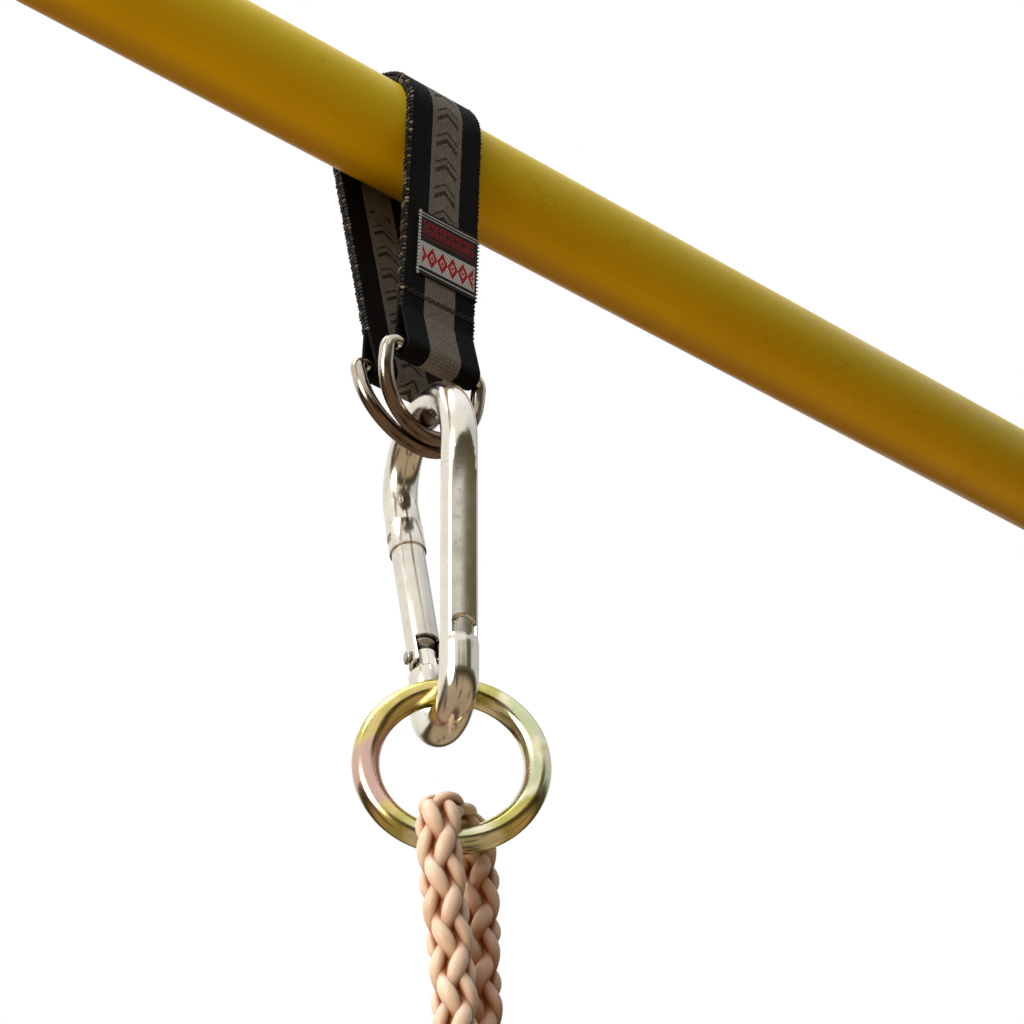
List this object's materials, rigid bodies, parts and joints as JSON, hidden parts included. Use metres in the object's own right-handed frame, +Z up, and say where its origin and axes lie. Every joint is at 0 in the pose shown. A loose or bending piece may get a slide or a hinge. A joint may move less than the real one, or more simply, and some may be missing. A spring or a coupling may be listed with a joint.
{
  "type": "tire swing hanger",
  "caption": "Hanging hardware of a tire swing: webbing strap over a steel bar, D-rings, spring-gate snap hook, welded ring and doubled braided rope.",
  "frame": {"origin": "on the crossbar's axis, under the middle of the strap", "axes": "+X along the crossbar, +Z up, -Y towards the labelled leg of the strap"},
  "size_m": [0.66, 0.0559, 0.4519],
  "materials": {
    "yellow_paint": "gloss enamel, lightly worn",
    "webbing": "woven polyester with a grey centre stripe",
    "thread": "bonded thread",
    "label_cloth": "woven label",
    "polished_steel": "polished",
    "spring_steel": "satin",
    "zinc_yellow": "yellow chromated zinc on steel",
    "rope_yarn": "glossy braided synthetic yarn",
    "whip_twine": "waxed twine"
  },
  "bodies": {
    "bar": {"crossbar_tube": "yellow_paint"},
    "strap": {"strap_webbing": "webbing", "woven_label": "label_cloth", "front_eye_stitching": "thread", "back_eye_stitching": "thread"},
    "front_dee": {"front_d_ring": "polished_steel"},
    "back_dee": {"back_d_ring": "polished_steel"},
    "hook": {"snap_hook_body": "polished_steel", "gate_rivet": "spring_steel", "nose_pin": "spring_steel"},
    "gate": {"gate_sleeve": "polished_steel", "gate_plunger": "spring_steel", "gate_spring": "spring_steel"},
    "ring": {"swing_ring": "zinc_yellow"},
    "rope": {"swing_rope": "rope_yarn", "rope_whipping": "whip_twine"}
  },
  "joints": [
    {"name": "strap_rock", "type": "hinge", "parent": "bar", "child": "strap", "pos_m": [0, 0, 0], "axis": [1, 0, 0], "range_deg": [-45, 45]},
    {"name": "front_ring_tilt", "type": "hinge", "parent": "strap", "child": "front_dee", "pos_m": [-0.001, -0.0076, -0.0924], "axis": [1, 0, 0], "range_deg": [-5, 5]},
    {"name": "back_ring_tilt", "type": "hinge", "parent": "strap", "child": "back_dee", "pos_m": [-0.001, 0.0076, -0.0924], "axis": [1, 0, 0], "range_deg": [-5, 5]},
    {"name": "hook_swing", "type": "hinge", "parent": "front_dee", "child": "hook", "pos_m": [-0.00012, -0.00092, -0.1168], "axis": [-0.9397, 0.342, 0], "range_deg": [-12, 12]},
    {"name": "gate_open", "type": "hinge", "parent": "hook", "child": "gate", "pos_m": [0.00343, 0.00941, -0.19094], "axis": [-0.9397, 0.342, 0], "range_deg": [-24, 0], "stiffness_Nm_per_rad": 0.5, "springref_deg": 8.59},
    {"name": "ring_swing", "type": "hinge", "parent": "hook", "child": "ring", "pos_m": [-0.00084, -0.0023, -0.2192], "axis": [0.342, 0.9397, 0], "range_deg": [-35, 9]},
    {"name": "rope_swing", "type": "hinge", "parent": "ring", "child": "rope", "pos_m": [0.0002, -0.0024, -0.2576], "axis": [0.788, -0.6157, 0], "range_deg": [-25, 20]}
  ],
  "couplings": [
    {"joint": "back_ring_tilt", "follows": "front_ring_tilt", "ratio": 1}
  ]
}
